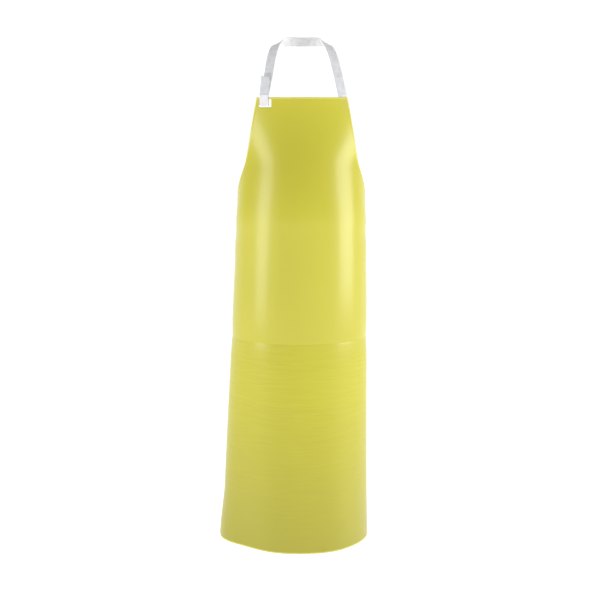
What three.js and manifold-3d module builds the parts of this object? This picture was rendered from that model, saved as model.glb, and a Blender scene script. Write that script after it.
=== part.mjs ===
// A long butcher's apron as it is worn: one die-cut vinyl sheet wrapped round the wearer's front,
// a webbing neck strap that is sewn behind one bib corner and folds back through a slot in the other,
// and two webbing waist ties that lap behind the back.
// Millimetres, +Z up, +X to the onlooker's right, the apron's front faces -Y.
// The origin is where the neck strap bears on the nape.
import * as THREE from "three";
import { mergeVertices } from "three/addons/utils/BufferGeometryUtils.js";
import Module from "manifold-3d";

const wasm = await Module();
wasm.setup();

// ---- the sheet's cut ----
const SHEET_LENGTH = 1270;
const SHEET_THICKNESS = 0.6;
const BIB_TOP_WIDTH = 254;
const SKIRT_WIDTH = 762;
const ARMHOLE_DROP = 330;
const BIB_SIDE_SLOPE = 0.22;
const ARMHOLE_POWER = 4;
const HEM_CORNER_RADIUS = 30;

// ---- how the sheet hangs round the body ----
const BIB_DROP = 161; // from the nape down to the bib's top edge
const BIB_FRONT_Y = -195;
const BELLY_DEPTH = 76.4; // how far the skirt's front stands ahead of the bib's
const BELLY_DROP = 340;
const CHEST_HALF_WIDTH = 250;
const WAIST_HALF_WIDTH = 169;
const HEM_FLARE = 44;
const CHEST_DEPTH = 110;
const WAIST_DEPTH = 140;
const HEM_EXTRA_DEPTH = 25;
const CHEST_TO_WAIST = 190;
const BACK_RADIUS = 110; // how tightly the sides turn in behind the waist
const BACK_STRAIGHTENS = [380, 1000]; // drops between which the sides run out straight
const HEM_SKEW = -18; // the skirt hangs a little to one side of the bib
const SKEW_DROPS = [100, 1270];
const HEM_TURN = 80; // how far the skirt has crept round the body at the hem
const TURN_DROPS = [400, 1270];

// ---- webbing, patches and thread ----
const WEBBING_WIDTH = 25;
const WEBBING_THICKNESS = 1.4;
const PATCH_THICKNESS = 0.6;
const HOOK_THICKNESS = 0.8;
const HOOK_WIDTH = 20;
const THREAD_THICKNESS = 0.5;
const SEAM_WIDTH = 1;
const GAP = 0.3; // between flat pieces that touch
const LAYER_GAP = 0.5; // between pieces that lie on the curved sheet

// ---- neck strap ends on the bib ----
const SLOT_STRAP_INSET = 22; // from the bib's corner in to the strap's middle
const SEWN_STRAP_INSET = 14;
const BRIDGE_HEIGHT = 21; // sheet left above the slot
const SLOT_HEIGHT = 6;
const SLOT_LEFT_ROOM = 3;
const SLOT_RIGHT_ROOM = 8;
const SLOT_RISE = 5; // top of the slot's drawn-open right end, below the top edge
const SWING_RISE = 5; // the webbing flexes this far above the top edge
const SWING_FORWARD = THREE.MathUtils.degToRad(30); // the webbing ends are cut to clear this swing
const SEWN_END_LENGTH = 34;
const SEWN_END_LEAN = THREE.MathUtils.degToRad(-10);
const END_GAP = 0.9;
const FRONT_END_GAP = 3.6;
const CORNER_PATCH = [30, 46];
const SLOT_PATCH = [50, 42];
const TAIL_LENGTH = 56;
const TAIL_DRIFT = -6; // the tail lies a little outside the strap it is stuck to
const TAIL_PATCH_INSET = 6;
const LOOP_PATCH_LENGTH = 60;

// ---- waist ties ----
const TIE_BELOW_ARMHOLE = 25; // from the armhole's end down to the tie's middle
const TIE_SEWN_LENGTH = 38;
const TIE_EDGE_ROOM = 2; // the webbing flexes this far behind the sheet's edge
const WAIST_PATCH = [46, 44];
const LAP_LENGTH = 80;
const LAP_PATCH_INSET = 5;
const LAP_RAMP = 30;
const TIE_UPRIGHT = 60;

const sheetTopZ = -BIB_DROP;
const slotStrapS = SLOT_STRAP_INSET - BIB_TOP_WIDTH / 2;
const sewnStrapS = BIB_TOP_WIDTH / 2 - SEWN_STRAP_INSET;
const waistTieDrop = ARMHOLE_DROP + TIE_BELOW_ARMHOLE;
const halfWebbing = WEBBING_WIDTH / 2;
const halfSheet = SHEET_THICKNESS / 2;

const vinyl = { color: 0xcdc44a, roughness: 0.28, metalness: 0 };
const patchVinyl = { color: 0xc4bb45, roughness: 0.35, metalness: 0 };
const webbing = { color: 0xdedee2, roughness: 0.85, metalness: 0 };
const hookTape = { color: 0xe9e9e6, roughness: 0.95, metalness: 0 };
const thread = { color: 0xf2f2ee, roughness: 0.8, metalness: 0 };

const smooth = (x) => THREE.MathUtils.smoothstep(x, 0, 1);
const between = (t, [from, to]) => smooth((t - from) / (to - from));

// Half the sheet's cut width at a distance t below its top edge.
function halfWidth(t) {
  const halfTop = BIB_TOP_WIDTH / 2;
  const halfSkirt = SKIRT_WIDTH / 2;
  const flare = halfSkirt - halfTop - BIB_SIDE_SLOPE * ARMHOLE_DROP;
  const down = Math.max(0, t);
  if (down < ARMHOLE_DROP) {
    return halfTop + BIB_SIDE_SLOPE * down + flare * (down / ARMHOLE_DROP) ** ARMHOLE_POWER;
  }
  const intoCorner = Math.max(0, down - (SHEET_LENGTH - HEM_CORNER_RADIUS));
  return halfSkirt - HEM_CORNER_RADIUS + Math.sqrt(HEM_CORNER_RADIUS ** 2 - intoCorner ** 2);
}

// The level plan of one half of the worn sheet: a flat front arc, a tighter side arc, each of 45
// degrees, then an arc behind the side. Returns the point at arc length s and the heading there.
function plan(s, t) {
  const chest = smooth(t / CHEST_TO_WAIST);
  const drop = Math.max(0, t) / SHEET_LENGTH;
  const reach = THREE.MathUtils.lerp(CHEST_HALF_WIDTH, WAIST_HALF_WIDTH, chest) + HEM_FLARE * drop;
  const depth = THREE.MathUtils.lerp(CHEST_DEPTH, WAIST_DEPTH, chest) + HEM_EXTRA_DEPTH * drop;
  const c = Math.SQRT1_2;
  const front = (c * reach - (1 - c) * depth) / (2 * c - 1);
  const side = (c * depth - (1 - c) * reach) / (2 * c - 1);
  const frontLength = (front * Math.PI) / 4;
  const quarter = ((reach + depth) * Math.PI) / 4;
  if (s < frontLength) {
    const h = s / front;
    return { x: front * Math.sin(h), y: front * (1 - Math.cos(h)), h };
  }
  if (s < quarter) {
    const h = Math.PI / 4 + (s - frontLength) / side;
    return { x: c * front + side * (Math.sin(h) - c), y: (1 - c) * front + side * (c - Math.cos(h)), h };
  }
  const bend = (1 - between(t, BACK_STRAIGHTENS)) / BACK_RADIUS;
  const past = s - quarter;
  if (bend * past < 1e-6) return { x: reach, y: depth + past, h: Math.PI / 2 };
  const h = bend * past;
  return { x: reach - (1 - Math.cos(h)) / bend, y: depth + Math.sin(h) / bend, h: Math.PI / 2 + h };
}

// A point on the worn sheet: s along the cut from its centre line, t below the top edge, and inward
// the distance from the sheet's middle surface towards the body.
function sheetPoint(s, t, inward) {
  const turned = s + HEM_TURN * between(t, TURN_DROPS);
  const side = turned < 0 ? -1 : 1;
  const p = plan(Math.abs(turned), t);
  const x = side * (p.x - inward * Math.sin(p.h)) + HEM_SKEW * between(t, SKEW_DROPS);
  const y = BIB_FRONT_Y - BELLY_DEPTH * smooth(t / BELLY_DROP) + p.y + inward * Math.cos(p.h);
  return new THREE.Vector3(x, y, sheetTopZ - t);
}

// A closed solid between two faces of a grid. pointAt(u, v, side) gives the corner points, with u
// and v from the two lists and side -1 or 1.
function slab(us, vs, pointAt) {
  const rows = vs.length;
  const position = [];
  for (const side of [-1, 1]) {
    for (const u of us) {
      for (const v of vs) position.push(...pointAt(u, v, side).toArray());
    }
  }
  const at = (face, i, j) => face * us.length * rows + i * rows + j;
  const index = [];
  const quad = (a, b, c, d) => index.push(a, b, c, a, c, d);
  for (let i = 0; i + 1 < us.length; i++) {
    for (let j = 0; j + 1 < rows; j++) {
      quad(at(0, i, j), at(0, i + 1, j), at(0, i + 1, j + 1), at(0, i, j + 1));
      quad(at(1, i, j), at(1, i, j + 1), at(1, i + 1, j + 1), at(1, i + 1, j));
    }
    quad(at(0, i, 0), at(1, i, 0), at(1, i + 1, 0), at(0, i + 1, 0));
    quad(at(0, i, rows - 1), at(0, i + 1, rows - 1), at(1, i + 1, rows - 1), at(1, i, rows - 1));
  }
  const last = us.length - 1;
  for (let j = 0; j + 1 < rows; j++) {
    quad(at(0, 0, j), at(0, 0, j + 1), at(1, 0, j + 1), at(1, 0, j));
    quad(at(0, last, j), at(1, last, j), at(1, last, j + 1), at(0, last, j + 1));
  }
  const geometry = new THREE.BufferGeometry();
  geometry.setAttribute("position", new THREE.Float32BufferAttribute(position, 3));
  geometry.setIndex(index);
  return facingOut(geometry);
}

// Turns every face round if the closed geometry's signed volume is negative.
function facingOut(geometry) {
  const p = geometry.attributes.position;
  const index = geometry.index.array;
  const corner = [new THREE.Vector3(), new THREE.Vector3(), new THREE.Vector3()];
  let volume = 0;
  for (let i = 0; i < index.length; i += 3) {
    corner.forEach((v, k) => v.fromBufferAttribute(p, index[i + k]));
    volume += corner[0].dot(corner[1].clone().cross(corner[2]));
  }
  if (volume < 0) {
    for (let i = 0; i < index.length; i += 3) {
      [index[i + 1], index[i + 2]] = [index[i + 2], index[i + 1]];
    }
  }
  return geometry;
}

const steps = (from, to, count) =>
  Array.from({ length: count + 1 }, (_, i) => THREE.MathUtils.lerp(from, to, i / count));

function solid(geometry) {
  const bare = geometry.clone();
  bare.deleteAttribute("normal");
  bare.deleteAttribute("uv");
  const merged = mergeVertices(bare, 1e-4);
  return new wasm.Manifold(
    new wasm.Mesh({
      numProp: 3,
      vertProperties: merged.attributes.position.array,
      triVerts: new Uint32Array(merged.index.array),
    }),
  );
}

function geometryOf(manifold) {
  const mesh = manifold.getMesh();
  const geometry = new THREE.BufferGeometry();
  geometry.setAttribute("position", new THREE.BufferAttribute(mesh.vertProperties, 3));
  geometry.setIndex(new THREE.BufferAttribute(mesh.triVerts, 1));
  return geometry;
}

// ---- the sheet ----

// The L-shaped slot: a level run under the strap's fold, drawn open upwards beside the strap.
function slotCutter() {
  const left = slotStrapS - halfWebbing - SLOT_LEFT_ROOM;
  const riser = slotStrapS + halfWebbing + GAP;
  const right = slotStrapS + halfWebbing + SLOT_RIGHT_ROOM;
  const bottom = BRIDGE_HEIGHT + SLOT_HEIGHT;
  const corners = [
    [left, BRIDGE_HEIGHT],
    [riser, BRIDGE_HEIGHT],
    [riser, SLOT_RISE],
    [right, SLOT_RISE],
    [right, bottom],
    [left, bottom],
  ];
  const outline = corners.map(([s, t]) => {
    const p = sheetPoint(s, t, 0);
    return new THREE.Vector2(p.x, p.z);
  });
  const reach = 20;
  const prism = new THREE.ExtrudeGeometry(new THREE.Shape(outline), { depth: 2 * reach, bevelEnabled: false });
  const middle = sheetPoint(slotStrapS, BRIDGE_HEIGHT, 0).y;
  prism.rotateX(Math.PI / 2).translate(0, middle + reach, 0);
  return prism;
}

function cutSlot(geometry) {
  return geometryOf(solid(geometry).subtract(solid(slotCutter())));
}

function sheetGeometry() {
  const columns = 48;
  const skirtEnd = SHEET_LENGTH - HEM_CORNER_RADIUS;
  const corner = steps(0, Math.PI / 2, 4).map((a) => skirtEnd + HEM_CORNER_RADIUS * Math.sin(a));
  const rows = [...steps(0, ARMHOLE_DROP, 13), ...steps(ARMHOLE_DROP, skirtEnd, 12).slice(1), ...corner.slice(1)];
  return cutSlot(slab(steps(-1, 1, columns), rows, (u, t, side) => sheetPoint(u * halfWidth(t), t, side * halfSheet)));
}

// ---- flat pieces on the sheet ----

// A rectangle that lies on the sheet with its middle at (s, t), its length turned by lean from
// straight down, between two distances inward from the sheet's middle surface.
function layer({ s, t, width, length, lean = 0, near, thick }) {
  const across = Math.max(2, Math.round(width / 6));
  const along = Math.max(2, Math.round(length / 8));
  return slab(steps(-width / 2, width / 2, across), steps(-length / 2, length / 2, along), (a, b, side) =>
    sheetPoint(
      s + a * Math.cos(lean) - b * Math.sin(lean),
      t + a * Math.sin(lean) + b * Math.cos(lean),
      near + (thick * (side + 1)) / 2,
    ),
  );
}

// A sewn box with its cross, one seam wide, that lies on a flat piece in the same way as a layer.
function boxSeam({ s, t, width, length, lean = 0, near }) {
  const outline = [];
  const corners = [
    [-1, -1],
    [1, -1],
    [1, 1],
    [-1, 1],
  ];
  const bar = (a, b) => {
    const from = new THREE.Vector2((a[0] * width) / 2, (a[1] * length) / 2);
    const to = new THREE.Vector2((b[0] * width) / 2, (b[1] * length) / 2);
    const way = to.clone().sub(from).normalize().multiplyScalar(SEAM_WIDTH / 2);
    const off = new THREE.Vector2(-way.y, way.x);
    const start = from.clone().sub(way);
    const end = to.clone().add(way);
    return slab(steps(-1, 1, 1), steps(0, 1, 6), (u, v, side) => {
      const p = start.clone().lerp(end, v).addScaledVector(off, u);
      return new THREE.Vector3(p.x, p.y, near + (THREAD_THICKNESS * (side + 1)) / 2);
    });
  };
  corners.forEach((corner, i) => outline.push(solid(bar(corner, corners[(i + 1) % 4]))));
  outline.push(solid(bar(corners[0], corners[2])), solid(bar(corners[1], corners[3])));
  const flat = geometryOf(outline.reduce((whole, piece) => whole.add(piece)));
  const position = flat.attributes.position;
  for (let i = 0; i < position.count; i++) {
    const [a, b, inward] = [position.getX(i), position.getY(i), position.getZ(i)];
    const p = sheetPoint(
      s + a * Math.cos(lean) - b * Math.sin(lean),
      t + a * Math.sin(lean) + b * Math.cos(lean),
      inward,
    );
    position.setXYZ(i, p.x, p.y, p.z);
  }
  return facingOut(flat);
}

const patchNear = halfSheet + LAYER_GAP;
const sewnNear = patchNear + PATCH_THICKNESS + LAYER_GAP;
const seamNear = sewnNear + WEBBING_THICKNESS + GAP;

// How much lower a webbing end stops away from the swing line's crossing, so that it clears the
// strap above it when the sheet swings. inner is the distance towards the bib's centre.
function endRelief(inner, heading) {
  const forward = Math.tan(heading) * Math.sin(SWING_FORWARD);
  return inner > 0 ? inner * forward : (-inner * forward) / 4;
}

// The neck strap's sewn end behind the bib corner.
function neckSewnEnd() {
  const heading = plan(sewnStrapS, 0).h;
  const top = -SWING_RISE + END_GAP;
  return slab(steps(-halfWebbing, halfWebbing, 4), steps(0, 1, 5), (a, v, side) => {
    const start = top + endRelief(-a, heading);
    const t = THREE.MathUtils.lerp(start, SEWN_END_LENGTH, v);
    const s = sewnStrapS + a - Math.tan(SEWN_END_LEAN) * (t + SWING_RISE);
    return sheetPoint(s, t, sewnNear + (WEBBING_THICKNESS * (side + 1)) / 2);
  });
}

// The strap's fold: down behind the bridge, forward through the slot and up in front of it.
const foldFront = -(halfSheet + LAYER_GAP + WEBBING_THICKNESS / 2);
const foldBack = patchNear + PATCH_THICKNESS + LAYER_GAP + WEBBING_THICKNESS / 2;

function slotFold() {
  const heading = plan(-slotStrapS, 0).h;
  const radius = (foldBack - foldFront) / 2;
  const middle = (foldBack + foldFront) / 2;
  const turnT = BRIDGE_HEIGHT + GAP;
  const path = [];
  for (const v of steps(0, 1, 4)) path.push({ leg: "back", v });
  for (const angle of steps(0, Math.PI, 6).slice(1, -1)) path.push({ leg: "turn", angle });
  for (const v of steps(1, 0, 4)) path.push({ leg: "front", v });
  return slab(steps(-halfWebbing, halfWebbing, 4), path, (a, station, side) => {
    const half = (side * WEBBING_THICKNESS) / 2;
    if (station.leg === "turn") {
      const out = radius + half;
      return sheetPoint(
        slotStrapS + a,
        turnT + out * Math.sin(station.angle),
        middle + out * Math.cos(station.angle),
      );
    }
    const back = station.leg === "back";
    const top = -SWING_RISE + (back ? END_GAP : FRONT_END_GAP) + endRelief(a, heading);
    const t = THREE.MathUtils.lerp(top, turnT, station.v);
    return sheetPoint(slotStrapS + a, t, back ? foldBack + half : foldFront - half);
  });
}

// ---- the neck strap ----

const slotStart = sheetPoint(slotStrapS, -SWING_RISE, foldBack);
const sewnStart = sheetPoint(sewnStrapS, -SWING_RISE, sewnNear + WEBBING_THICKNESS / 2);

// The strap's route over one shoulder, from the bib to just before the nape: each place with the
// way that the webbing's outer face looks there. It starts in line with the bib's corner.
const bibCorner = BIB_TOP_WIDTH / 2;
const shoulderRoute = [
  { at: [bibCorner - 34, -154, -106], out: [0.25, -0.93, 0.25] },
  { at: [bibCorner - 43, -124, -51], out: [0.2, -0.8, 0.55] },
  { at: [bibCorner - 52, -95, -20], out: [0.25, -0.45, 0.85] },
  { at: [63, -61, -6], out: [0.55, 0, 0.83] },
  { at: [50, -27, -2], out: [0.85, 0.35, 0.35] },
  { at: [28, -6, 0], out: [0.5, 0.85, 0.1] },
];
const SEWN_SIDE_WIDER = [7, 3, 0, 0, 0, 0]; // the sewn side's leg stands this much further out

function outAt(s) {
  const face = sheetPoint(s, -SWING_RISE, 0).sub(sheetPoint(s, -SWING_RISE, 1));
  return face.normalize();
}

const leftRoute = shoulderRoute.map(({ at, out }) => ({
  at: new THREE.Vector3(-at[0], at[1], at[2]),
  out: new THREE.Vector3(-out[0], out[1], out[2]),
}));
const rightRoute = shoulderRoute.map(({ at, out }, i) => ({
  at: new THREE.Vector3(at[0] + SEWN_SIDE_WIDER[i], at[1], at[2]),
  out: new THREE.Vector3(...out),
}));
const nape = { at: new THREE.Vector3(0, WEBBING_THICKNESS / 2, 0), out: new THREE.Vector3(0, 1, 0) };
const neckRoute = [
  { at: slotStart, out: outAt(slotStrapS) },
  ...leftRoute,
  nape,
  ...rightRoute.reverse(),
  { at: sewnStart, out: outAt(sewnStrapS) },
];
const neckCurve = new THREE.CatmullRomCurve3(neckRoute.map((p) => p.at));
const neckFacing = new THREE.CatmullRomCurve3(neckRoute.map((p) => p.out));

// A point on the neck strap: v along it from 0 to 1, across its width and out from its middle.
function strapPoint(v, across, out) {
  const tangent = neckCurve.getTangent(v);
  const facing = neckFacing.getPoint(v);
  const width = new THREE.Vector3().crossVectors(facing, tangent).normalize();
  const normal = new THREE.Vector3().crossVectors(tangent, width).normalize();
  return neckCurve.getPoint(v).addScaledVector(width, across).addScaledVector(normal, out);
}

// The share of full thickness near a rounded end, at a distance from the end.
function nose(distance) {
  const r = WEBBING_THICKNESS / 2;
  const d = Math.min(Math.max(distance, 0.05), r);
  return Math.sqrt(1 - (1 - d / r) ** 2);
}

// The strap's parameter v at a length along it from its slot end.
const strapLength = neckCurve.getLength();
const strapAt = (length) => neckCurve.getUtoTmapping(length / strapLength, length);

function neckStrap() {
  const r = WEBBING_THICKNESS / 2;
  const inner = steps(r, strapLength - r, 64);
  const lengths = [0, r / 4, ...inner, strapLength - r / 4, strapLength];
  return slab(steps(-halfWebbing, halfWebbing, 1), lengths, (across, length, side) => {
    const half = r * nose(Math.min(length, strapLength - length));
    return strapPoint(strapAt(length), across, side * half);
  });
}

const loopNear = WEBBING_THICKNESS / 2 + GAP;
const hookNear = loopNear + HOOK_THICKNESS + GAP;
const tailNear = hookNear + HOOK_THICKNESS + GAP;
const tailDrift = (length) => (-TAIL_DRIFT * length) / TAIL_LENGTH;

// A flat strip on the neck strap's outer face, between two lengths from the slot end.
function onStrap({ from, to, width, near, thick, drift = () => 0, round = false }) {
  const count = Math.max(3, Math.round((to - from) / 7));
  const r = thick / 2;
  const lengths = round ? [from, from + r / 4, ...steps(from + r, to, count)] : steps(from, to, count);
  return slab(steps(-width / 2, width / 2, 1), lengths, (across, length, side) => {
    const half = round ? r * nose(length - from) : r;
    return strapPoint(strapAt(length), across + drift(length), near + r + side * half);
  });
}

// ---- the waist ties ----

const tieEdgeS = SKIRT_WIDTH / 2 + TIE_EDGE_ROOM;
const tieInward = sewnNear + WEBBING_THICKNESS / 2;

// A point on a tie at a length behind the sheet's edge: on round the back's arc until it runs level
// across, then straight. It leaves the sheet at the sheet's own slope and comes upright by
// TIE_UPRIGHT. lift moves it out from the body.
function tiePoint(side, length, up, lift) {
  const edge = plan(tieEdgeS, waistTieDrop);
  const toLevel = (Math.PI - edge.h) * BACK_RADIUS;
  const onArc = Math.min(length, toLevel);
  const slope = 1 - smooth(length / TIE_UPRIGHT);
  const p = sheetPoint(side * (tieEdgeS + onArc), waistTieDrop - up * slope, tieInward - lift);
  p.x -= side * Math.max(0, length - toLevel);
  p.z = sheetTopZ - waistTieDrop + up;
  return p;
}

// A tie's full length: round the arc, then level until it has passed the centre by half the lap.
function tieLength(side) {
  const centre = HEM_SKEW * between(waistTieDrop, SKEW_DROPS);
  const edge = plan(tieEdgeS, waistTieDrop);
  const toLevel = (Math.PI - edge.h) * BACK_RADIUS;
  const levelX = side * (tiePoint(side, toLevel, 0, 0).x - centre);
  return toLevel + levelX + LAP_LENGTH / 2;
}

const lapHalf = (WEBBING_THICKNESS + 2 * HOOK_THICKNESS + 3 * GAP) / 2;

// How far a tie stands out at a length, so that the two pass each other in the lap.
function tieLift(side, length) {
  const lapStart = tieLength(side) - LAP_LENGTH;
  return -side * lapHalf * smooth((length - lapStart + LAP_RAMP) / LAP_RAMP);
}

function waistTie(side) {
  const total = tieLength(side);
  const r = WEBBING_THICKNESS / 2;
  const lengths = [0, r / 4, ...steps(r, total, 26)];
  return slab(steps(-halfWebbing, halfWebbing, 1), lengths, (up, length, face) =>
    tiePoint(side, length, up, tieLift(side, length) + face * r * nose(length)),
  );
}

// A strip of hook or loop tape in the lap, on the face of its tie that meets the other one.
function lapTape(side) {
  const total = tieLength(side);
  const near = side * (WEBBING_THICKNESS / 2 + GAP);
  const far = side * (WEBBING_THICKNESS / 2 + GAP + HOOK_THICKNESS);
  const from = total - LAP_LENGTH + LAP_PATCH_INSET;
  const to = total - LAP_PATCH_INSET;
  return slab(steps(-HOOK_WIDTH / 2, HOOK_WIDTH / 2, 1), steps(from, to, 8), (up, length, face) =>
    tiePoint(side, length, up, tieLift(side, length) + (face < 0 ? near : far)),
  );
}

// ---- the assembly ----

const apron = new THREE.Group();

function add(name, geometry, look) {
  geometry.computeVertexNormals();
  const mesh = new THREE.Mesh(geometry, new THREE.MeshStandardMaterial(look));
  mesh.name = name;
  apron.add(mesh);
}

const cornerPlace = { s: sewnStrapS - 3, t: CORNER_PATCH[1] / 2 + 2, lean: 0 };
const slotPlace = { s: slotStrapS + 3, t: SLOT_PATCH[1] / 2 + 2 };

add("apron_sheet", sheetGeometry(), vinyl);
add(
  "slot_patch",
  cutSlot(layer({ ...slotPlace, width: SLOT_PATCH[0], length: SLOT_PATCH[1], near: patchNear, thick: PATCH_THICKNESS })),
  patchVinyl,
);
add(
  "corner_patch",
  layer({ ...cornerPlace, width: CORNER_PATCH[0], length: CORNER_PATCH[1], near: patchNear, thick: PATCH_THICKNESS }),
  patchVinyl,
);
add("neck_strap", neckStrap(), webbing);
add("neck_strap_slot_fold", slotFold(), webbing);
add("neck_strap_sewn_end", neckSewnEnd(), webbing);
add(
  "neck_end_stitching",
  boxSeam({
    s: sewnStrapS + Math.tan(-SEWN_END_LEAN) * (SEWN_END_LENGTH / 2 + SWING_RISE + 2),
    t: SEWN_END_LENGTH / 2 + 2,
    width: WEBBING_WIDTH - 7,
    length: SEWN_END_LENGTH - 10,
    lean: SEWN_END_LEAN,
    near: seamNear,
  }),
  thread,
);
add(
  "strap_tail",
  onStrap({
    from: GAP,
    to: TAIL_LENGTH,
    width: WEBBING_WIDTH,
    near: tailNear,
    thick: WEBBING_THICKNESS,
    drift: tailDrift,
    round: true,
  }),
  webbing,
);
add(
  "tail_hook_tape",
  onStrap({
    from: TAIL_PATCH_INSET,
    to: TAIL_LENGTH - TAIL_PATCH_INSET,
    width: HOOK_WIDTH,
    near: hookNear,
    thick: HOOK_THICKNESS,
    drift: tailDrift,
  }),
  hookTape,
);
add(
  "strap_loop_tape",
  onStrap({
    from: TAIL_PATCH_INSET,
    to: TAIL_PATCH_INSET + LOOP_PATCH_LENGTH,
    width: HOOK_WIDTH,
    near: loopNear,
    thick: HOOK_THICKNESS,
  }),
  hookTape,
);

for (const [side, name] of [
  [-1, "left"],
  [1, "right"],
]) {
  const edge = SKIRT_WIDTH / 2;
  const patchS = side * (edge - WAIST_PATCH[0] / 2 - 2);
  const sewnFrom = edge - TIE_SEWN_LENGTH;
  const sewnTo = tieEdgeS - GAP;
  const sewnS = (side * (sewnFrom + sewnTo)) / 2;
  add(
    "waist_patch_" + name,
    layer({
      s: patchS,
      t: waistTieDrop,
      width: WAIST_PATCH[0],
      length: WAIST_PATCH[1],
      near: patchNear,
      thick: PATCH_THICKNESS,
    }),
    patchVinyl,
  );
  add(
    "waist_tie_end_" + name,
    layer({
      s: sewnS,
      t: waistTieDrop,
      width: sewnTo - sewnFrom,
      length: WEBBING_WIDTH,
      near: sewnNear,
      thick: WEBBING_THICKNESS,
    }),
    webbing,
  );
  add(
    "waist_stitching_" + name,
    boxSeam({
      s: side * (edge - TIE_SEWN_LENGTH / 2 - 2),
      t: waistTieDrop,
      width: TIE_SEWN_LENGTH - 10,
      length: WEBBING_WIDTH - 7,
      near: seamNear,
    }),
    thread,
  );
  add("waist_tie_" + name, waistTie(side), webbing);
}
add("waist_hook_tape", lapTape(-1), hookTape);
add("waist_loop_tape", lapTape(1), hookTape);

export default apron;
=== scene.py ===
"""The looks of a long yellow butcher's apron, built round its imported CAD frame.

Metres, +Z up; the apron's front faces -Y. The worn sheet is a surface in (s, t): s along the cut
from its centre line, t down from the top edge. Everything sewn to the sheet is placed on it.
"""
import math

import bmesh
import bpy
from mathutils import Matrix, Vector, noise


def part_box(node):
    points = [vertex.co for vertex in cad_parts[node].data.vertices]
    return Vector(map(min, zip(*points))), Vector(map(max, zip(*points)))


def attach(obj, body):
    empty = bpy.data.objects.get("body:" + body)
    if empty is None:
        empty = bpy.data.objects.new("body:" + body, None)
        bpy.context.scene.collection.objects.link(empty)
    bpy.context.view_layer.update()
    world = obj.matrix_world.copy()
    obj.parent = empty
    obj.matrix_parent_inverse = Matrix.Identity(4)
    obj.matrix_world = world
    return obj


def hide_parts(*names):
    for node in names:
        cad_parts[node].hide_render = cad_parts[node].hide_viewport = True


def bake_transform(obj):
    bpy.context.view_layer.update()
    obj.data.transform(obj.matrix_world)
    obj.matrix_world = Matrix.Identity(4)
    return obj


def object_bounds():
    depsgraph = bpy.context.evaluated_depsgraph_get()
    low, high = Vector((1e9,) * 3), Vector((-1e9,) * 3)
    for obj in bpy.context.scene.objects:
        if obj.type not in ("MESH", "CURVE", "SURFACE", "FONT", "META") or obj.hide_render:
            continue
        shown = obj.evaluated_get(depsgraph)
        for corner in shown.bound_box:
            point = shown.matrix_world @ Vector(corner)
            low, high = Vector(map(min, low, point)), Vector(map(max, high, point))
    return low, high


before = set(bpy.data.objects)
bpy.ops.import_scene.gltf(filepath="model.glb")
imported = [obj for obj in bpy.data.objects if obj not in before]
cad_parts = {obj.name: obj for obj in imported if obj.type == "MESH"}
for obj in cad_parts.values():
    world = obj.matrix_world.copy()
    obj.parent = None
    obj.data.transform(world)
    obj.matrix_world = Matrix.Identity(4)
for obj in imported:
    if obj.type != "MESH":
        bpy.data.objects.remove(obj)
cad_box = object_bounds()

# ---------------------------------------------------------------- sizes, in metres
SHEET_THICKNESS = 0.0006
BIB_TOP_WIDTH = 0.254
SKIRT_WIDTH = 0.762
ARMHOLE_DROP = 0.330
BIB_SIDE_SLOPE = 0.22
ARMHOLE_POWER = 4
HEM_CORNER_RADIUS = 0.030

BIB_FRONT_Y = -0.195
BELLY_DEPTH = 0.0764
BELLY_DROP = 0.340
CHEST_HALF_WIDTH = 0.250
WAIST_HALF_WIDTH = 0.169
HEM_FLARE = 0.044
CHEST_DEPTH = 0.110
WAIST_DEPTH = 0.140
HEM_EXTRA_DEPTH = 0.025
CHEST_TO_WAIST = 0.190
BACK_RADIUS = 0.110
BACK_STRAIGHTENS = (0.380, 1.000)
HEM_SKEW = -0.018
SKEW_DROPS = (0.100, 1.270)
HEM_TURN = 0.080
TURN_DROPS = (0.400, 1.270)

WEBBING_WIDTH = 0.025
WEBBING_THICKNESS = 0.0014
PATCH_THICKNESS = 0.0006
HOOK_THICKNESS = 0.0008
HOOK_WIDTH = 0.020
GAP = 0.0003
LAYER_GAP = 0.0005

SLOT_STRAP_S = 0.022 - BIB_TOP_WIDTH / 2
SEWN_STRAP_S = BIB_TOP_WIDTH / 2 - 0.014
BRIDGE_HEIGHT = 0.021
SLOT_HEIGHT = 0.006
SLOT_LEFT_ROOM = 0.003
SLOT_RIGHT_ROOM = 0.008
SLOT_RISE = 0.005
SLOT_TOP_RADIUS = 0.0032
SLOT_BOTTOM_RADIUS = 0.0028
SLOT_CHAMFER = 0.002
SWING_RISE = 0.005
FRONT_LEG_RISE = 0.0022
SEWN_END_LENGTH = 0.034
SEWN_END_LEAN = math.radians(-10)
CORNER_PATCH = (0.030, 0.046)
SLOT_PATCH = (0.050, 0.042)
PATCH_INSET = 0.002
TAIL_LENGTH = 0.056
TAIL_DRIFT = -0.006
TAIL_PATCH_INSET = 0.006
LOOP_PATCH_LENGTH = 0.060

WAIST_TIE_DROP = ARMHOLE_DROP + 0.025
TIE_SEWN_LENGTH = 0.038
TIE_EDGE_ROOM = 0.002
WAIST_PATCH = (0.046, 0.044)
LAP_LENGTH = 0.080
LAP_PATCH_INSET = 0.005
LAP_RAMP = 0.030

SHEET_TOP_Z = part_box("apron_sheet")[1][2]
SHEET_LENGTH = SHEET_TOP_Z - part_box("apron_sheet")[0][2]
HALF_WEBBING = WEBBING_WIDTH / 2
HALF_SHEET = SHEET_THICKNESS / 2
CREASE_DROP = 0.527 * SHEET_LENGTH


# ---------------------------------------------------------------- the worn sheet
def smooth(x):
    x = min(1.0, max(0.0, x))
    return x * x * (3 - 2 * x)


def between(t, drops):
    return smooth((t - drops[0]) / (drops[1] - drops[0]))


def mix(a, b, share):
    return a + (b - a) * share


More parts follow.
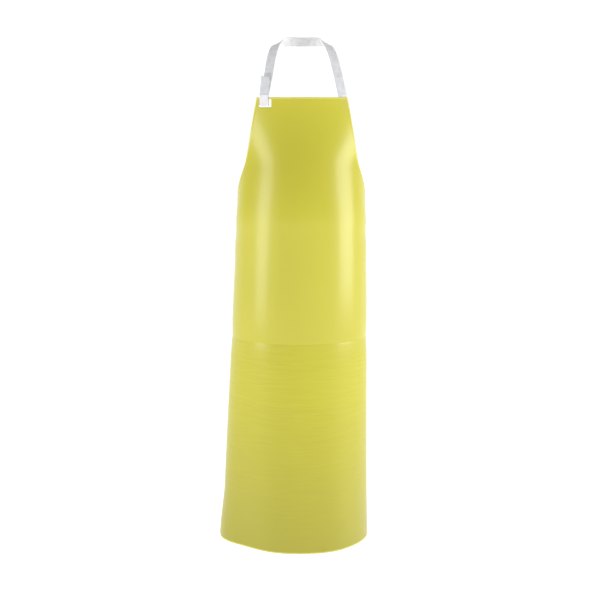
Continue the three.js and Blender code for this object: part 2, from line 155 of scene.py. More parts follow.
def half_width(t):
    """Half the sheet's cut width at a drop t below its top edge."""
    half_top = BIB_TOP_WIDTH / 2
    half_skirt = SKIRT_WIDTH / 2
    flare = half_skirt - half_top - BIB_SIDE_SLOPE * ARMHOLE_DROP
    down = max(0.0, t)
    if down < ARMHOLE_DROP:
        return half_top + BIB_SIDE_SLOPE * down + flare * (down / ARMHOLE_DROP) ** ARMHOLE_POWER
    into_corner = max(0.0, down - (SHEET_LENGTH - HEM_CORNER_RADIUS))
    inside = max(0.0, HEM_CORNER_RADIUS ** 2 - into_corner ** 2)
    return half_skirt - HEM_CORNER_RADIUS + math.sqrt(inside)


def plan(s, t):
    """The level plan of half the worn sheet: x, y and heading at arc length s from the front."""
    chest = smooth(t / CHEST_TO_WAIST)
    drop = max(0.0, t) / SHEET_LENGTH
    reach = mix(CHEST_HALF_WIDTH, WAIST_HALF_WIDTH, chest) + HEM_FLARE * drop
    depth = mix(CHEST_DEPTH, WAIST_DEPTH, chest) + HEM_EXTRA_DEPTH * drop
    c = math.sqrt(0.5)
    front = (c * reach - (1 - c) * depth) / (2 * c - 1)
    side = (c * depth - (1 - c) * reach) / (2 * c - 1)
    front_length = front * math.pi / 4
    quarter = (reach + depth) * math.pi / 4
    if s < front_length:
        h = s / front
        return front * math.sin(h), front * (1 - math.cos(h)), h
    if s < quarter:
        h = math.pi / 4 + (s - front_length) / side
        return c * front + side * (math.sin(h) - c), (1 - c) * front + side * (c - math.cos(h)), h
    bend = (1 - between(t, BACK_STRAIGHTENS)) / BACK_RADIUS
    past = s - quarter
    h = bend * past
    if h < 1e-6:
        return reach, depth + past, math.pi / 2
    return reach - (1 - math.cos(h)) / bend, depth + math.sin(h) / bend, math.pi / 2 + h


def ripple(s, t):
    """How far the sheet lies inward of its smooth shape: slack waves, the packing fold, the flared
    corner and the pull of the ties. The waves and the pull fade out where the ties are sewn on."""
    skirt = between(t, (0.45, 1.2))
    waves = 0.0022 * math.sin(9.0 * s + 2.4 * t + 0.6) * between(t, (0.02, 0.3))
    broad = 0.0038 * math.sin(15.0 * s - 1.1 * t)
    narrow = 0.0018 * math.sin(33.0 * s + 1.7 * t + 1.2)
    waves += skirt * (broad + narrow)
    waves += 0.0009 * noise.noise(Vector((8.0 * s, 3.5 * t, 0.3))) * between(t, (0.01, 0.1))
    crease = 0.0009 * math.exp(-abs(t - CREASE_DROP) / 0.005)
    crease += 0.0016 * math.exp(-((t - CREASE_DROP) / 0.035) ** 2)
    flare = -0.009 * between(t, (SHEET_LENGTH - 0.16, SHEET_LENGTH)) * smooth((-s - 0.23) / 0.15)
    pull = 0.0
    for side in (-1, 1):
        away = math.hypot(side * s - 0.33, (t - WAIST_TIE_DROP) * 1.3)
        angle = math.atan2(t - WAIST_TIE_DROP, 0.36 - side * s)
        pull += 0.0008 * math.sin(9.0 * angle) * math.exp(-((away - 0.09) / 0.07) ** 2)
    from_tie = ((abs(s) - 0.362) / 0.032) ** 2 + ((t - WAIST_TIE_DROP) / 0.03) ** 2
    free = 1 - math.exp(-from_tie ** 2)
    return (waves + pull) * free + crease + flare


def sheet_point(s, t, inward):
    """A point on the worn sheet, inward of its middle surface by that distance."""
    inward += ripple(s, t)
    turned = s + HEM_TURN * between(t, TURN_DROPS)
    side = -1 if turned < 0 else 1
    x, y, h = plan(abs(turned), t)
    return Vector((
        side * (x - inward * math.sin(h)) + HEM_SKEW * between(t, SKEW_DROPS),
        BIB_FRONT_Y - BELLY_DEPTH * smooth(t / BELLY_DROP) + y + inward * math.cos(h),
        SHEET_TOP_Z - t,
    ))


# ---------------------------------------------------------------- mesh building
def new_object(name, vertices, faces, uvs=None, face_slots=None):
    mesh = bpy.data.meshes.new(name)
    mesh.from_pydata([tuple(v) for v in vertices], [], faces)
    if uvs is not None:
        layer = mesh.uv_layers.new(name="cloth")
        for loop in mesh.loops:
            layer.data[loop.index].uv = uvs[loop.vertex_index]
    if face_slots is not None:
        mesh.polygons.foreach_set("material_index", face_slots)
    mesh.update()
    obj = bpy.data.objects.new(name, mesh)
    bpy.context.scene.collection.objects.link(obj)
    make_outward(obj)
    for polygon in mesh.polygons:
        polygon.use_smooth = True
    return obj


def make_outward(obj):
    """Turns the faces round if the closed mesh's signed volume is negative."""
    bm = bmesh.new()
    bm.from_mesh(obj.data)
    if bm.calc_volume(signed=True) < 0:
        bmesh.ops.reverse_faces(bm, faces=bm.faces[:])
    bm.to_mesh(obj.data)
    bm.free()


def slab(name, us, vs, point_at, uv_at):
    """A closed solid between two faces of a grid. The second face gets material slot 1."""
    rows = len(vs)
    count = len(us) * rows
    vertices = [point_at(u, v, side) for side in (-1, 1) for u in us for v in vs]
    uvs = [uv_at(u, v) for side in (-1, 1) for u in us for v in vs]
    faces = []
    slots = []

    def at(face, i, j):
        return face * count + i * rows + j

    def quad(slot, *corners):
        faces.append(corners)
        slots.append(slot)

    last_u = len(us) - 1
    last_v = rows - 1
    for i in range(last_u):
        for j in range(last_v):
            quad(0, at(0, i, j), at(0, i + 1, j), at(0, i + 1, j + 1), at(0, i, j + 1))
            quad(1, at(1, i, j), at(1, i, j + 1), at(1, i + 1, j + 1), at(1, i + 1, j))
        quad(0, at(0, i, 0), at(1, i, 0), at(1, i + 1, 0), at(0, i + 1, 0))
        quad(0, at(0, i, last_v), at(0, i + 1, last_v), at(1, i + 1, last_v), at(1, i, last_v))
    for j in range(last_v):
        quad(0, at(0, 0, j), at(0, 0, j + 1), at(1, 0, j + 1), at(1, 0, j))
        quad(0, at(0, last_u, j), at(1, last_u, j), at(1, last_u, j + 1), at(0, last_u, j + 1))
    return new_object(name, vertices, faces, uvs, slots)


def steps(start, end, count):
    return [start + (end - start) * i / count for i in range(count + 1)]


def lengths_along(points):
    """The distance along the points to each of them."""
    length = [0.0]
    for a, b in zip(points, points[1:]):
        length.append(length[-1] + (b - a).length)
    return length


def locate(length, along):
    """The span that holds a distance along the points, and how far through that span it is."""
    k = 0
    while k + 2 < len(length) and length[k + 1] < along:
        k += 1
    return k, (along - length[k]) / max(1e-9, length[k + 1] - length[k])


def tangent_at(points, i):
    return (points[min(i + 1, len(points) - 1)] - points[max(i - 1, 0)]).normalized()


def apply_boolean(obj, cutter):
    """Cuts cutter out of obj and removes it."""
    modifier = obj.modifiers.new("cut", "BOOLEAN")
    modifier.operation = "DIFFERENCE"
    modifier.solver = "EXACT"
    modifier.object = cutter
    bpy.context.view_layer.update()
    cut = bpy.data.meshes.new_from_object(obj.evaluated_get(bpy.context.evaluated_depsgraph_get()))
    obj.modifiers.clear()
    obj.data = cut
    bpy.data.objects.remove(cutter, do_unlink=True)


# ---------------------------------------------------------------- the sheet itself
def slot_cutter():
    """The slot's outline, a level run with its right end drawn open upwards, as a prism along Y."""
    left = SLOT_STRAP_S - HALF_WEBBING - SLOT_LEFT_ROOM
    riser = SLOT_STRAP_S + HALF_WEBBING + GAP
    right = SLOT_STRAP_S + HALF_WEBBING + SLOT_RIGHT_ROOM
    top = BRIDGE_HEIGHT
    bottom = BRIDGE_HEIGHT + SLOT_HEIGHT
    wide, tight = SLOT_TOP_RADIUS, SLOT_BOTTOM_RADIUS
    outline = [(left, top), (riser, top)]
    outline += quarter_turn(riser + wide, SLOT_RISE + wide, wide, math.pi)
    outline += quarter_turn(right - wide, SLOT_RISE + wide, wide, 1.5 * math.pi)
    outline += quarter_turn(right - tight, bottom - tight, tight, 0)
    outline += [(left + SLOT_CHAMFER, bottom), (left, bottom - SLOT_CHAMFER)]
    middle = sheet_point(SLOT_STRAP_S, BRIDGE_HEIGHT, 0).y
    ring = []
    for s, t in outline:
        p = sheet_point(s, t, 0)
        ring.append((p.x, p.z))
    count = len(ring)
    reach = 0.02
    vertices = [(x, middle + y, z) for y in (-reach, reach) for x, z in ring]
    faces = [tuple(range(count)), tuple(range(2 * count - 1, count - 1, -1))]
    faces += [(i, i + count, (i + 1) % count + count, (i + 1) % count) for i in range(count)]
    return new_object("slot_cutter", vertices, faces)


def quarter_turn(s, t, radius, start):
    """Points a quarter of the way round a circle, from an angle on."""
    angles = steps(start, start + math.pi / 2, 4)
    return [(s + radius * math.cos(a), t + radius * math.sin(a)) for a in angles]


# Distances in from the cut edge: where the mesh has lines, the pale band of painted highlight, the
# bead and its height.
EDGE_STEPS = (0.0060, 0.0044, 0.0034, 0.0024, 0.0014, 0.0006, 0.0)
EDGE_HIGHLIGHT_BAND = 0.0036
EDGE_BEAD_WIDTH = 0.0044
EDGE_BEAD = 0.00035
EDGE_ROUNDING = 0.0002


def edge_lift(distance):
    """How far the outer face stands up in the narrow bead along the cut edge."""
    if distance > EDGE_STEPS[0]:
        return 0.0
    across = distance / EDGE_BEAD_WIDTH
    bead = EDGE_BEAD * (1.0 - (2.0 * min(1.0, across) - 1.0) ** 2)
    return bead - (EDGE_ROUNDING if distance < 0.0003 else 0.0)


def make_sheet():
    """The cut sheet, with extra columns and rows that follow its edge."""
    columns = 140
    skirt_end = SHEET_LENGTH - HEM_CORNER_RADIUS
    beside_crease = (-0.009, -0.006, -0.004, -0.002, 0.0, 0.002, 0.004, 0.006, 0.009)
    crease = [CREASE_DROP + d for d in beside_crease]
    rows = list(EDGE_STEPS[::-1])
    rows += steps(EDGE_STEPS[0], ARMHOLE_DROP, 66)[1:]
    rows += steps(ARMHOLE_DROP, crease[0], 60)[1:] + crease[1:]
    rows += steps(crease[-1], skirt_end, 100)[1:]
    hem_angle = 1.2
    hem_start = skirt_end + HEM_CORNER_RADIUS * math.sin(hem_angle)
    rows += [skirt_end + HEM_CORNER_RADIUS * math.sin(a) for a in steps(0, hem_angle, 8)[1:]]
    rows += [t for t in (SHEET_LENGTH - d for d in EDGE_STEPS) if t > hem_start + 0.0002]
    places = [(-1, d) for d in EDGE_STEPS[:0:-1]]
    places += [(u, EDGE_STEPS[0]) for u in steps(-1, 1, columns)]
    places += [(1, d) for d in EDGE_STEPS[1:]]

    def across(place, t):
        u, distance = place
        return u * max(0.0, half_width(t) - distance)

    def from_edge(place, t):
        """Distance from the nearest cut edge."""
        u, distance = place
        aside = distance if abs(u) == 1 else distance + (1 - abs(u)) * half_width(t)
        return min(aside, t, SHEET_LENGTH - t)

    def point_at(place, t, side):
        inward = side * HALF_SHEET
        if side < 0:
            inward -= edge_lift(from_edge(place, t))
        return sheet_point(across(place, t), t, inward)

    sheet = slab("vinyl_sheet", places, rows, point_at, lambda place, t: (across(place, t), t))
    for polygon in sheet.data.polygons:
        corners = [sheet.data.uv_layers["cloth"].data[i].uv for i in polygon.loop_indices]
        s = sum(uv[0] for uv in corners) / len(corners)
        t = sum(uv[1] for uv in corners) / len(corners)
        # painted highlight: faces this near a cut edge take the paler edge colour
        if min(half_width(t) - abs(s), t, SHEET_LENGTH - t) < EDGE_HIGHLIGHT_BAND:
            polygon.material_index = 2
    apply_boolean(sheet, slot_cutter())
    return sheet


def rounded_patch(name, s, t, width, length, near, radius=0.006, lean=0.0, thick=PATCH_THICKNESS):
    """A patch with rounded corners and a pressed weld line inside its edge, lying on the sheet."""
    around = 96
    rings = [0.0, 0.3, 0.6, 0.8, 0.855, 0.88, 0.905, 0.96, 1.0]
    groove = {0.855: 0.8, 0.88: 0.55, 0.905: 0.8, 1.0: 0.6}

    def outline(angle):
        """The rounded rectangle's point in a direction."""
        c, si = math.cos(angle), math.sin(angle)
        hw, hl = width / 2, length / 2
        reach = min(hw / abs(c) if abs(c) > 1e-9 else 9, hl / abs(si) if abs(si) > 1e-9 else 9)
        x, y = reach * c, reach * si
        cx, cy = hw - radius, hl - radius
        if abs(x) > cx and abs(y) > cy:
            ox, oy = math.copysign(cx, x), math.copysign(cy, y)
            b = c * ox + si * oy
            disc = b * b - (ox * ox + oy * oy - radius * radius)
            reach = b + math.sqrt(max(0.0, disc))
            x, y = reach * c, reach * si
        return x, y

    def place(x, y, inward):
        return sheet_point(
            s + x * math.cos(lean) - y * math.sin(lean),
            t + x * math.sin(lean) + y * math.cos(lean),
            inward,
        )

    edge = [outline(2 * math.pi * i / around) for i in range(around)]
    vertices = []
    for side in (0, 1):
        for ring in rings[1:]:
            inward = near if side == 0 else near + thick * groove.get(ring, 1.0)
            vertices += [place(x * ring, y * ring, inward) for x, y in edge]
    face = (len(rings) - 1) * around
    vertices += [place(0, 0, near), place(0, 0, near + thick)]
    faces = []
    for side in (0, 1):
        base = side * face
        centre = 2 * face + side
        for i in range(around):
            k = (i + 1) % around
            fan = (centre, base + i, base + k)
            faces.append(fan if side == 0 else (fan[0], fan[2], fan[1]))
            for r in range(len(rings) - 2):
                a, b = base + r * around, base + (r + 1) * around
                ring_face = (a + i, b + i, b + k, a + k)
                faces.append(ring_face if side == 0 else ring_face[::-1])
    outer = (len(rings) - 2) * around
    for i in range(around):
        k = (i + 1) % around
        faces.append((outer + i, face + outer + i, face + outer + k, outer + k))
    return new_object(name, vertices, faces)


# ---------------------------------------------------------------- webbing
PATCH_NEAR = HALF_SHEET + LAYER_GAP
SEWN_NEAR = PATCH_NEAR + PATCH_THICKNESS + LAYER_GAP
SEWN_MID = SEWN_NEAR + WEBBING_THICKNESS / 2
FOLD_FRONT = -(HALF_SHEET + LAYER_GAP + WEBBING_THICKNESS / 2)
FOLD_BACK = SEWN_MID
WEAVE_PITCH = 0.0011
WEAVE_RELIEF = 0.00010
TAPE_RELIEF = 0.00025


def ribbon(name, stations, width=WEBBING_WIDTH, thickness=WEBBING_THICKNESS, relief=WEAVE_RELIEF):
    """Woven webbing along stations, each (centre, across, normal) with unit vectors. The yarns
    stand proud in a plain weave, with a firmer selvedge along both edges."""
    length = lengths_along([centre for centre, _, _ in stations])
    rows = []
    count = max(2, round(length[-1] / WEAVE_PITCH))
    for order in range(count + 1):
        along = length[-1] * order / count
        k, share = locate(length, along)
        rows.append((*station_between(stations[k], stations[k + 1], share), along, order))
    columns = 20

    def point_at(column, row, side):
        centre, across, normal, _, order = row
        u = -1 + 2 * column / columns
        half = thickness / 2
        if abs(u) > 0.99:
            half *= 0.45
        elif abs(u) > 0.85:
            half *= 1.08
        else:
            half += relief * (1 if (column + order) % 2 else -1) * 0.5
        return centre + across * (u * width / 2) + normal * (side * half)

    def uv_at(column, row):
        return (-1 + 2 * column / columns) * width / 2, row[3]

    return slab(name, range(columns + 1), rows, point_at, uv_at)


def station_between(a, b, share):
    across = a[1].lerp(b[1], share).normalized()
    normal = a[2].lerp(b[2], share).normalized()
    return a[0].lerp(b[0], share), across, normal


def frames_along(points, normals):
    """Stations for ribbon from points and the way the webbing's face looks at each."""
    stations = []
    for i, p in enumerate(points):
        tangent = tangent_at(points, i)
        across = normals[i].cross(tangent).normalized()
        stations.append((p, across, tangent.cross(across).normalized()))
    return stations


def catmull(points, per_span):
    """Centripetal Catmull-Rom through the points."""
    out = []
    padded = [points[0] * 2 - points[1], *points, points[-1] * 2 - points[-2]]
    for i in range(1, len(padded) - 2):
        p0, p1, p2, p3 = padded[i - 1 : i + 3]
        t0 = 0.0
        t1 = t0 + math.sqrt((p1 - p0).length)
        t2 = t1 + math.sqrt((p2 - p1).length)
        t3 = t2 + math.sqrt((p3 - p2).length)
        for k in range(per_span):
            t = t1 + (t2 - t1) * k / per_span
            a1 = p0 * ((t1 - t) / (t1 - t0)) + p1 * ((t - t0) / (t1 - t0))
            a2 = p1 * ((t2 - t) / (t2 - t1)) + p2 * ((t - t1) / (t2 - t1))
            a3 = p2 * ((t3 - t) / (t3 - t2)) + p3 * ((t - t2) / (t3 - t2))
            b1 = a1 * ((t2 - t) / (t2 - t0)) + a2 * ((t - t0) / (t2 - t0))
            b2 = a2 * ((t3 - t) / (t3 - t1)) + a3 * ((t - t1) / (t3 - t1))
            out.append(b1 * ((t2 - t) / (t2 - t1)) + b2 * ((t - t1) / (t2 - t1)))
    out.append(points[-1].copy())
    return out


def sheet_outward(s, t):
    return (sheet_point(s, t, -0.001) - sheet_point(s, t, 0)).normalized()


# The strap's middle line over one shoulder, as places and the way its face looks there.
SHOULDER_ROUTE = [
    ((0.093, -0.154, -0.106), (0.25, -0.93, 0.25)),
    ((0.084, -0.124, -0.051), (0.2, -0.8, 0.55)),
    ((0.075, -0.095, -0.020), (0.25, -0.45, 0.85)),
    ((0.063, -0.061, -0.006), (0.55, 0.0, 0.83)),
    ((0.050, -0.027, -0.002), (0.85, 0.35, 0.35)),
    ((0.028, -0.006, 0.0), (0.5, 0.85, 0.1)),
]
SEWN_SIDE_WIDER = [0.007, 0.003, 0.0, 0.0, 0.0, 0.0]


def neck_loop_points():
    """The strap's middle line and facing, from above the slot, round the neck, to the sewn end."""
    left = []
    right = []
    for ((x, y, z), (nx, ny, nz)), wider in zip(SHOULDER_ROUTE, SEWN_SIDE_WIDER):
        left.append((Vector((-x, y, z)), Vector((-nx, ny, nz))))
        right.append((Vector((x + wider, y, z)), Vector((nx, ny, nz))))
    nape = (Vector((0, WEBBING_THICKNESS / 2, 0)), Vector((0, 1, 0)))
    start = (sheet_point(SLOT_STRAP_S, -SWING_RISE, FOLD_BACK), sheet_outward(SLOT_STRAP_S, 0))
    end = (sheet_point(SEWN_STRAP_S, -SWING_RISE, SEWN_MID), sheet_outward(SEWN_STRAP_S, 0))
    route = [start, *left, nape, *right[::-1], end]
    points = catmull([p for p, _ in route], 14)
    facing = catmull([n for _, n in route], 14)
    return points, [n.normalized() for n in facing]


def neck_webbing():
    """The whole neck strap: up in front of the bridge, through the slot, behind it, round the neck
    and down to the sewn end."""
    points, facing = neck_loop_points()
    radius = (FOLD_BACK - FOLD_FRONT) / 2
    middle = (FOLD_BACK + FOLD_FRONT) / 2
    turn_t = BRIDGE_HEIGHT + GAP
    fold = []
    fold_facing = []
    out = sheet_outward(SLOT_STRAP_S, BRIDGE_HEIGHT)
    down = Vector((0, 0, -1))
    for t in steps(-SWING_RISE - FRONT_LEG_RISE, turn_t, 10)[:-1]:
        fold.append(sheet_point(SLOT_STRAP_S, t, FOLD_FRONT))
        fold_facing.append(-out)
    for angle in steps(math.pi, 0, 12):
        t = turn_t + radius * math.sin(angle)
        fold.append(sheet_point(SLOT_STRAP_S, t, middle + radius * math.cos(angle)))
        fold_facing.append((out * math.cos(angle) + down * -math.sin(angle)).normalized())
    for t in steps(turn_t, -SWING_RISE, 8)[1:-1]:
        fold.append(sheet_point(SLOT_STRAP_S, t, FOLD_BACK))
        fold_facing.append(out)
    sewn = []
    sewn_facing = []
    for t in steps(-SWING_RISE, SEWN_END_LENGTH, 12)[1:]:
        s = SEWN_STRAP_S - math.tan(SEWN_END_LEAN) * (t + SWING_RISE)
        sewn.append(sheet_point(s, t, SEWN_MID))
        sewn_facing.append(sheet_outward(s, t))
    stations = frames_along(fold + points + sewn, fold_facing + facing + sewn_facing)
    return ribbon("neck_webbing", stations)


def strap_stations(start, end, out, drift):
    """Stations on the neck strap's outer face between two lengths from its slot end."""
    points, facing = neck_loop_points()
    base = frames_along(points, facing)
    length = lengths_along(points)
    stations = []
    for along in steps(start, end, 16):
        k, share = locate(length, along)
        centre, across, normal = station_between(base[k], base[k + 1], share)
        stations.append((centre + normal * out + across * drift(along), across, normal))
    return stations


# ---------------------------------------------------------------- waist ties
TIE_EDGE_S = SKIRT_WIDTH / 2 + TIE_EDGE_ROOM
LAP_HALF = (WEBBING_THICKNESS + 2 * HOOK_THICKNESS + 3 * GAP) / 2


def tie_point(side, length, lift):
    """A tie's middle line at a length behind the sheet's edge, lifted out from the body."""
    edge = plan(TIE_EDGE_S, WAIST_TIE_DROP)
    to_level = (math.pi - edge[2]) * BACK_RADIUS
    p = sheet_point(side * (TIE_EDGE_S + min(length, to_level)), WAIST_TIE_DROP, SEWN_MID - lift)
    p.x -= side * max(0.0, length - to_level)
    p.z = SHEET_TOP_Z - WAIST_TIE_DROP
    return p


def tie_length(side):
    centre = HEM_SKEW * between(WAIST_TIE_DROP, SKEW_DROPS)
    edge = plan(TIE_EDGE_S, WAIST_TIE_DROP)
    to_level = (math.pi - edge[2]) * BACK_RADIUS
    return to_level + side * (tie_point(side, to_level, 0).x - centre) + LAP_LENGTH / 2


def tie_lift(side, length):
    start = tie_length(side) - LAP_LENGTH
    return -side * LAP_HALF * smooth((length - start + LAP_RAMP) / LAP_RAMP)


def level_stations(points):
    """Stations for webbing that runs level with its width upright."""
    up = Vector((0, 0, 1))
    return [(p, up, tangent_at(points, i).cross(up).normalized()) for i, p in enumerate(points)]


def waist_webbing(side, name):
    sewn_run = steps(SKIRT_WIDTH / 2 - TIE_SEWN_LENGTH, TIE_EDGE_S, 10)[:-1]
    sewn = [sheet_point(side * s, WAIST_TIE_DROP, SEWN_MID) for s in sewn_run]
    free = [tie_point(side, d, tie_lift(side, d)) for d in steps(0, tie_length(side), 60)]
    return ribbon(name, level_stations(sewn + free))


def lap_tape(side, name):
    total = tie_length(side)
    near = WEBBING_THICKNESS / 2 + GAP + HOOK_THICKNESS / 2
    lengths = steps(total - LAP_LENGTH + LAP_PATCH_INSET, total - LAP_PATCH_INSET, 12)
    points = [tie_point(side, d, tie_lift(side, d) + side * near) for d in lengths]
    return ribbon(name, level_stations(points), HOOK_WIDTH, HOOK_THICKNESS, relief=TAPE_RELIEF)


# ---------------------------------------------------------------- thread
STITCH_LENGTH = 0.0030
STITCH_GAP = 0.0007
THREAD_RADIUS = 0.00028


def stitches(name, path_sets):
    """Thread stitches along lists of (point, outward) pairs: each stitch bows out of the cloth."""
    vertices = []
    faces = []
    sides = 6
    rings = 6
    for path in path_sets:
        length = lengths_along([point for point, _ in path])

        def sample(along):
            k, share = locate(length, along)
            (a, out_a), (b, out_b) = path[k], path[k + 1]
            return a.lerp(b, share), out_a.lerp(out_b, share).normalized()

        pitch = STITCH_LENGTH + STITCH_GAP
        count = max(1, round(length[-1] / pitch))
        for n in range(count):
            start = length[-1] * n / count
            end = start + length[-1] / count - STITCH_GAP
            base = len(vertices)
            for r in range(rings + 1):
                share = r / rings
                p, out = sample(mix(start, end, share))
                ahead, _ = sample(mix(start, end, min(1.0, share + 0.1)))
                behind, _ = sample(mix(start, end, max(0.0, share - 0.1)))
                tangent = (ahead - behind).normalized()
                across = tangent.cross(out).normalized()
                bow = math.sin(math.pi * share)
                centre = p + out * (THREAD_RADIUS * (0.9 * bow - 0.2))
                radius = THREAD_RADIUS * (0.45 + 0.55 * bow)
                for q in range(sides):
                    angle = 2 * math.pi * q / sides
                    aside = across * (radius * math.cos(angle))
                    vertices.append(centre + aside + out * (radius * math.sin(angle)))
            for r in range(rings):
                for q in range(sides):
                    k = (q + 1) % sides
                    a, b = base + r * sides, base + (r + 1) * sides
                    faces.append((a + q, a + k, b + k, b + q))
            faces.append(tuple(base + q for q in range(sides))[::-1])
            faces.append(tuple(base + rings * sides + q for q in range(sides)))
    return new_object(name, vertices, faces)


def box_cross(width, length):
    """A sewn box with its cross: six straight runs between corners."""
    w, h = width / 2, length / 2
    corners = [(-w, -h), (w, -h), (w, h), (-w, h)]
    runs = [(corners[i], corners[(i + 1) % 4]) for i in range(4)]
    return runs + [(corners[0], corners[2]), (corners[1], corners[3])]


def box_seam(name, s, t, width, length, lean, depths):
    """Box-and-cross stitching seen on each of the depths, given as (inward, faces outward)."""
    path_sets = []
    for inward, outside in depths:
        for a, b in box_cross(width, length):
            path = []
            for share in steps(0, 1, 10):
                x, y = mix(a[0], b[0], share), mix(a[1], b[1], share)
                u = s + x * math.cos(lean) - y * math.sin(lean)
                v = t + x * math.sin(lean) + y * math.cos(lean)
                out = sheet_outward(u, v)
                path.append((sheet_point(u, v, inward), out if outside else -out))
            path_sets.append(path)
    return stitches(name, path_sets)


# ---------------------------------------------------------------- materials
def linear(r, g, b):
    """An sRGB colour of 0 to 255 as linear light."""
    def one(c):
        c /= 255
        return c / 12.92 if c <= 0.04045 else ((c + 0.055) / 1.055) ** 2.4
    return (one(r), one(g), one(b), 1.0)


class Nodes:
    """A short way to build a material's node tree."""

    def __init__(self, name):
        self.material = bpy.data.materials.new(name)
        self.material.use_nodes = True
        self.tree = self.material.node_tree
        self.shader = self.tree.nodes["Principled BSDF"]

    def add(self, kind, **settings):
        node = self.tree.nodes.new(kind)
        for key, value in settings.items():
            if key in node.inputs:
                node.inputs[key].default_value = value
            else:
                setattr(node, key, value)
        return node

    def link(self, a, b):
        self.tree.links.new(a, b)

    def set(self, **values):
        for key, value in values.items():
            self.shader.inputs[key.replace("_", " ")].default_value = value

    def position(self, scale):
        """Object coordinates stretched by a scale on each axis."""
        coordinate = self.add("ShaderNodeTexCoord")
        mapping = self.add("ShaderNodeMapping")
        mapping.inputs["Scale"].default_value = scale
        self.link(coordinate.outputs["Object"], mapping.inputs["Vector"])
        return mapping.outputs["Vector"]

    def noise(self, scale, detail=3.0, stretch=(1, 1, 1)):
        node = self.add("ShaderNodeTexNoise", Scale=scale, Detail=detail)
        self.link(self.position(stretch), node.inputs["Vector"])
        return node.outputs["Fac"]

    def range(self, value, low, high, to_low, to_high):
        node = self.add("ShaderNodeMapRange")
        node.inputs["From Min"].default_value = low
        node.inputs["From Max"].default_value = high
        node.inputs["To Min"].default_value = to_low
        node.inputs["To Max"].default_value = to_high
        self.link(value, node.inputs["Value"])
        return node.outputs["Result"]

    def blend(self, share, a, b):
        node = self.add("ShaderNodeMix", data_type="RGBA")
        self.link(share, node.inputs["Factor"])
        for slot, value in (("A", a), ("B", b)):
            socket = [i for i in node.inputs if i.name == slot and i.type == "RGBA"][0]
            if isinstance(value, tuple):
                socket.default_value = value
            else:
                self.link(value, socket)
        return [o for o in node.outputs if o.type == "RGBA"][0]

    def maths(self, operation, a, b):
        node = self.add("ShaderNodeMath", operation=operation)
        for socket, value in zip(node.inputs, (a, b)):
            if isinstance(value, (int, float)):
                socket.default_value = value
            else:
                self.link(value, socket)
        return node.outputs[0]

    def bump(self, height, strength, distance, below=None):
        node = self.add("ShaderNodeBump", Strength=strength, Distance=distance)
        self.link(height, node.inputs["Height"])
        if below is not None:
            self.link(below, node.inputs["Normal"])
        return node.outputs["Normal"]


def vinyl_material(name, front):
    """Glossy calendered sheet. Below the packing fold it has been handled and is duller, being
    rougher; its yellow there is less blue. Towards the hem the colour darkens as painted shade.
    """
    n = Nodes(name)
    coordinate = n.add("ShaderNodeTexCoord")
    parts = n.add("ShaderNodeSeparateXYZ")
    n.link(coordinate.outputs["Object"], parts.inputs["Vector"])
    crease_z = SHEET_TOP_Z - CREASE_DROP
    wander = n.range(n.noise(9.0, 2.0), 0.3, 0.7, -0.012, 0.012)
    height = n.maths("ADD", parts.outputs["Z"], wander)
    below = n.range(height, crease_z + 0.006, crease_z - 0.045, 0.0, 1.0)
    streaks = n.noise(26.0, 3.0, (0.5, 0.5, 14.0))
    cloud = n.noise(5.0, 1.0)
    patchy = n.range(cloud, 0.35, 0.65, 0.0, 1.0)
    upper = n.blend(patchy, linear(204, 197, 58), linear(201, 194, 55))
    streaky = n.range(streaks, 0.35, 0.7, 0.0, 1.0)
    lower = n.blend(streaky, linear(197, 190, 36), linear(203, 197, 46))
    # painted shade: the colour darkens towards the hem, where less lamp light reaches
    hem_shade = n.range(parts.outputs["Z"], crease_z - 0.15, SHEET_TOP_Z - SHEET_LENGTH, 0.0, 0.8)
    lower = n.blend(hem_shade, lower, linear(168, 160, 28))
    colour = n.blend(below, upper, lower)
    n.link(colour, n.shader.inputs["Base Color"])
    rough_upper, rough_lower = (0.33, 0.42) if front else (0.5, 0.55)
    rough = n.range(below, 0.0, 1.0, rough_upper, rough_lower)
    mottled = n.maths("ADD", rough, n.range(n.noise(40.0, 3.0), 0.3, 0.7, -0.01, 0.015))
    n.link(mottled, n.shader.inputs["Roughness"])
    normal = n.bump(n.noise(700.0, 2.0), 0.06, 0.0003)
    normal = n.bump(n.noise(9.0, 1.0, (1.0, 1.0, 1.6)), 0.05, 0.0015, normal)
    normal = n.bump(n.maths("MULTIPLY", streaks, below), 0.08, 0.0006, normal)
    n.link(normal, n.shader.inputs["Normal"])
    n.set(IOR=1.53)
    if front:
        n.set(Coat_Weight=0.3, Coat_Roughness=0.18)
    return n.material


def edge_highlight_material():
    """The cut edge band, coloured paler than the sheet: a painted highlight where the edge catches
    the light.
    """
    n = Nodes("vinyl_cut_edge_highlight")
    share = n.range(n.noise(120.0, 3.0), 0.3, 0.7, 0.0, 1.0)
    colour = n.blend(share, linear(226, 219, 122), linear(216, 208, 100))
    n.link(colour, n.shader.inputs["Base Color"])
    n.link(n.range(share, 0.0, 1.0, 0.4, 0.5), n.shader.inputs["Roughness"])
    n.link(n.bump(n.noise(900.0, 2.0), 0.1, 0.0002), n.shader.inputs["Normal"])
    return n.material


